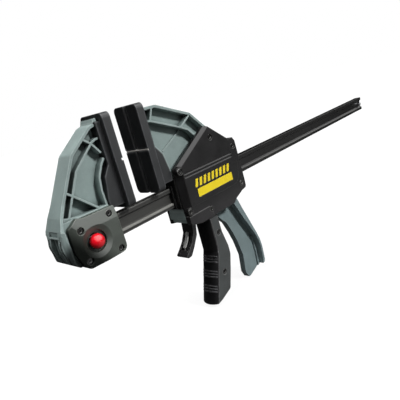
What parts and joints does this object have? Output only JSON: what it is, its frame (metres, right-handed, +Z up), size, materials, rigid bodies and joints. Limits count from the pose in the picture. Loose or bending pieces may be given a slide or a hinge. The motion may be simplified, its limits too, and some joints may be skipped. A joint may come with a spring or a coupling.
{
  "type": "quick release bar clamp",
  "caption": "One-handed quick release bar clamp: ribbed fixed and sliding jaws with rubber pads on a steel bar, pistol grip, squeeze lever and release trigger.",
  "frame": {"origin": "on the bar's centre line, in the plane of the fixed pad's clamping face", "axes": "+X along the bar from the fixed head to the bar's free end, +Y across to the clamp's right side, +Z up to the jaw tips, with the grip and lever below"},
  "size_m": [0.6455, 0.0479, 0.254],
  "materials": {
    "bar_steel": "black oxide, satin",
    "bright_steel": "plain turned steel",
    "plate_steel": "hardened steel, ground edges",
    "screw_steel": "black zinc",
    "jaw_plastic": "grey glass-filled nylon, fine satin",
    "lever_plastic": "darker grey glass-filled nylon, fine satin",
    "head_plastic": "dark green-grey moulded nylon",
    "housing_plastic": "black moulded nylon",
    "grip_plastic": "black moulded nylon",
    "grip_rubber": "soft black overmould",
    "pad_rubber": "firm black rubber",
    "button_plastic": "glossy red",
    "label_film": "yellow printed film"
  },
  "bodies": {
    "fixed_head": {"bar": "bar_steel", "bar_stop_pin": "bright_steel", "fixed_jaw_frame": "jaw_plastic", "fixed_jaw_pad": "pad_rubber", "head_cover_left": "head_plastic", "head_cover_right": "head_plastic", "head_screws": "screw_steel", "button_spring": "bright_steel"},
    "change_button": {"change_button": "button_plastic", "latch_pin": "bright_steel"},
    "moving_jaw": {"moving_jaw_frame": "jaw_plastic", "moving_jaw_pad": "pad_rubber", "front_guide": "housing_plastic", "rear_guide": "housing_plastic", "body_cover_left": "housing_plastic", "body_cover_right": "housing_plastic", "body_screws": "screw_steel", "label_left": "label_film", "label_right": "label_film", "grip_left": "grip_plastic", "grip_right": "grip_plastic", "grip_strip": "grip_rubber", "grip_screws": "screw_steel", "lever_pivot_pin": "bright_steel", "trigger_pivot_pin": "bright_steel", "drive_spring": "bright_steel", "brake_spring": "bright_steel"},
    "lever": {"drive_lever": "lever_plastic"},
    "trigger": {"release_trigger": "housing_plastic"},
    "drive_plates": {"drive_plate_front": "plate_steel", "drive_plate_rear": "plate_steel"},
    "brake": {"brake_plate": "plate_steel"}
  },
  "joints": [
    {"name": "jaw_slide", "type": "slide", "parent": "fixed_head", "child": "moving_jaw", "axis": [1, 0, 0], "range_m": [-0.031, 0.386]},
    {"name": "button_press", "type": "slide", "parent": "fixed_head", "child": "change_button", "axis": [0, 1, 0], "range_m": [0, 0.004], "stiffness_N_per_m": 400, "springref_m": -0.002, "deforming": ["button_spring"]},
    {"name": "lever_squeeze", "type": "hinge", "parent": "moving_jaw", "child": "lever", "pos_m": [0.124, 0, -0.02], "axis": [0, 1, 0], "range_deg": [0, 15], "stiffness_Nm_per_rad": 2, "springref_deg": -5.73, "deforming": ["drive_spring"]},
    {"name": "trigger_pull", "type": "hinge", "parent": "moving_jaw", "child": "trigger", "pos_m": [0.081, 0, -0.027], "axis": [0, -1, 0], "range_deg": [0, 12], "stiffness_Nm_per_rad": 0.6, "springref_deg": -5.73, "deforming": ["brake_spring"]},
    {"name": "plates_push", "type": "slide", "parent": "moving_jaw", "child": "drive_plates", "axis": [1, 0, 0], "range_m": [0, 0.0059]},
    {"name": "brake_tilt", "type": "hinge", "parent": "moving_jaw", "child": "brake", "pos_m": [0.0767, 0, 0.0208], "axis": [0, 1, 0], "range_deg": [0, 3.3]}
  ],
  "couplings": [
    {"joint": "plates_push", "follows": "lever_squeeze", "m_per_rad": 0.022},
    {"joint": "brake_tilt", "follows": "trigger_pull", "ratio": 0.2667}
  ]
}
